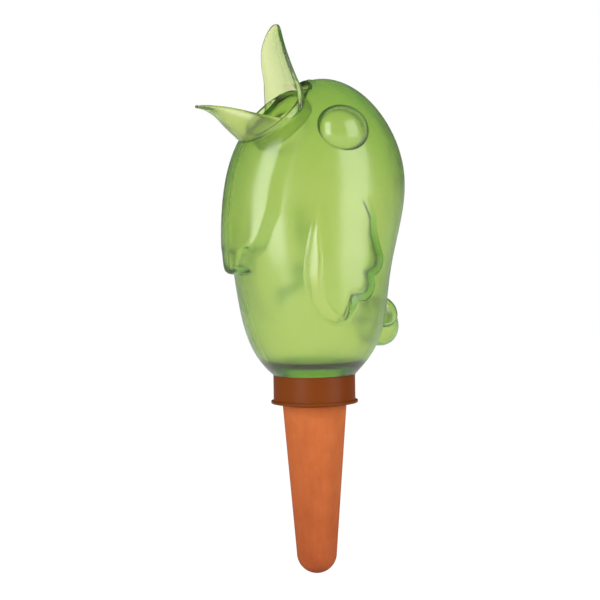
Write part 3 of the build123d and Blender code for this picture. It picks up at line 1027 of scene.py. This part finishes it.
def add_camera():
    """The camera at the photo's side of the bird, with a frame of a fixed width at the bird's axis."""
    data = bpy.data.cameras.new("camera")
    data.lens_unit = "FOV"
    data.angle = 2 * atan(FRAME_WIDE / 2 / CAMERA_AWAY)
    camera = bpy.data.objects.new("camera", data)
    bpy.context.scene.collection.objects.link(camera)
    across = Vector((cos(CAMERA_AZIMUTH), sin(CAMERA_AZIMUTH), 0))
    back = toward(CAMERA_AZIMUTH, CAMERA_RISE)
    middle = FRAME_ACROSS * across + Vector((0, 0, FRAME_UP))
    turn = Matrix((across, back.cross(across), back)).transposed().to_4x4()
    turn = turn @ Matrix.Rotation(-CAMERA_ROLL, 4, "Z")
    camera.matrix_world = Matrix.Translation(middle + CAMERA_AWAY * back) @ turn
    bpy.context.scene.camera = camera


def add_softbox(name, azimuth, rise, away, wide, tall, radiance):
    """A lit panel that faces the origin, which the camera doesn't see, directly or through plastic."""
    data = bpy.data.lights.new(name, "AREA")
    data.shape = "RECTANGLE"
    data.size, data.size_y = wide, tall
    data.energy = radiance * pi * wide * tall
    lamp = bpy.data.objects.new(name, data)
    bpy.context.scene.collection.objects.link(lamp)
    back = toward(radians(azimuth), radians(rise))
    lamp.matrix_world = Matrix.Translation(back * away) @ back.to_track_quat("Z", "Y").to_matrix().to_4x4()
    lamp.visible_camera = False
    lamp.visible_transmission = False


def seen_share(tree):
    """1 for what the camera sees directly or through clear plastic, 0 for all else."""
    path = tree.nodes.new("ShaderNodeLightPath")
    return combined(tree, "MAXIMUM", path.outputs["Is Camera Ray"], path.outputs["Is Transmission Ray"])


def add_world():
    """White where it is seen directly or through the plastic, dimmer where it is mirrored or lights."""
    world = bpy.data.worlds.new("white_room")
    bpy.context.scene.world = world
    world.use_nodes = True
    tree = world.node_tree
    mirrored = tree.nodes.new("ShaderNodeLightPath").outputs["Is Glossy Ray"]
    strength = tree.nodes.new("ShaderNodeMix")
    tree.links.new(seen_share(tree), strength.inputs["Factor"])
    tree.links.new(value_between(tree, mirrored, WORLD_LIGHT, WORLD_MIRRORED), strength.inputs["A"])
    strength.inputs["B"].default_value = 1.0
    tree.links.new(strength.outputs["Result"], tree.nodes["Background"].inputs["Strength"])
    tree.nodes["Background"].inputs["Color"].default_value = (1, 1, 1, 1)


def floor_material():
    """White that glows just enough to meet the background, and still takes a shadow."""
    material, tree, shader = new_material("white_floor")
    shader.inputs["Base Color"].default_value = (*FLOOR_COLOUR, 1)
    shader.inputs["Roughness"].default_value = 1.0
    shader.inputs["Specular IOR Level"].default_value = 0.0
    glow = tree.nodes.new("ShaderNodeEmission")
    glow.inputs["Strength"].default_value = FLOOR_GLOW
    mix = tree.nodes.new("ShaderNodeMixShader")
    tree.links.new(value_between(tree, seen_share(tree), 0, FLOOR_GLOW_SHARE), mix.inputs["Fac"])
    tree.links.new(shader.outputs["BSDF"], mix.inputs[1])
    tree.links.new(glow.outputs["Emission"], mix.inputs[2])
    tree.links.new(mix.outputs["Shader"], tree.nodes["Material Output"].inputs["Surface"])
    return material


def add_floor():
    """A wide floor just under the cone's tip."""
    bm = bmesh.new()
    bmesh.ops.create_grid(bm, x_segments=1, y_segments=1, size=FLOOR_HALF_SIZE)
    bmesh.ops.translate(bm, verts=bm.verts, vec=(0, 0, -CONE_LENGTH * MM - FLOOR_GAP))
    mesh = bpy.data.meshes.new("floor")
    bm.to_mesh(mesh)
    bm.free()
    mesh.materials.append(floor_material())
    floor = bpy.data.objects.new("floor", mesh)
    bpy.context.scene.collection.objects.link(floor)


bpy.context.scene.view_settings.view_transform = "Standard"
add_camera()
add_world()
for softbox in SOFTBOXES:
    add_softbox(*softbox)
add_floor()

half_shells(plastic("clear_green", **GREEN_PLASTIC))
collar_ring(plastic("clear_brown", **BROWN_PLASTIC))
clay_spike(terracotta())
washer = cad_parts["sealing_washer"]
washer.data.materials.clear()
washer.data.materials.append(rubber())
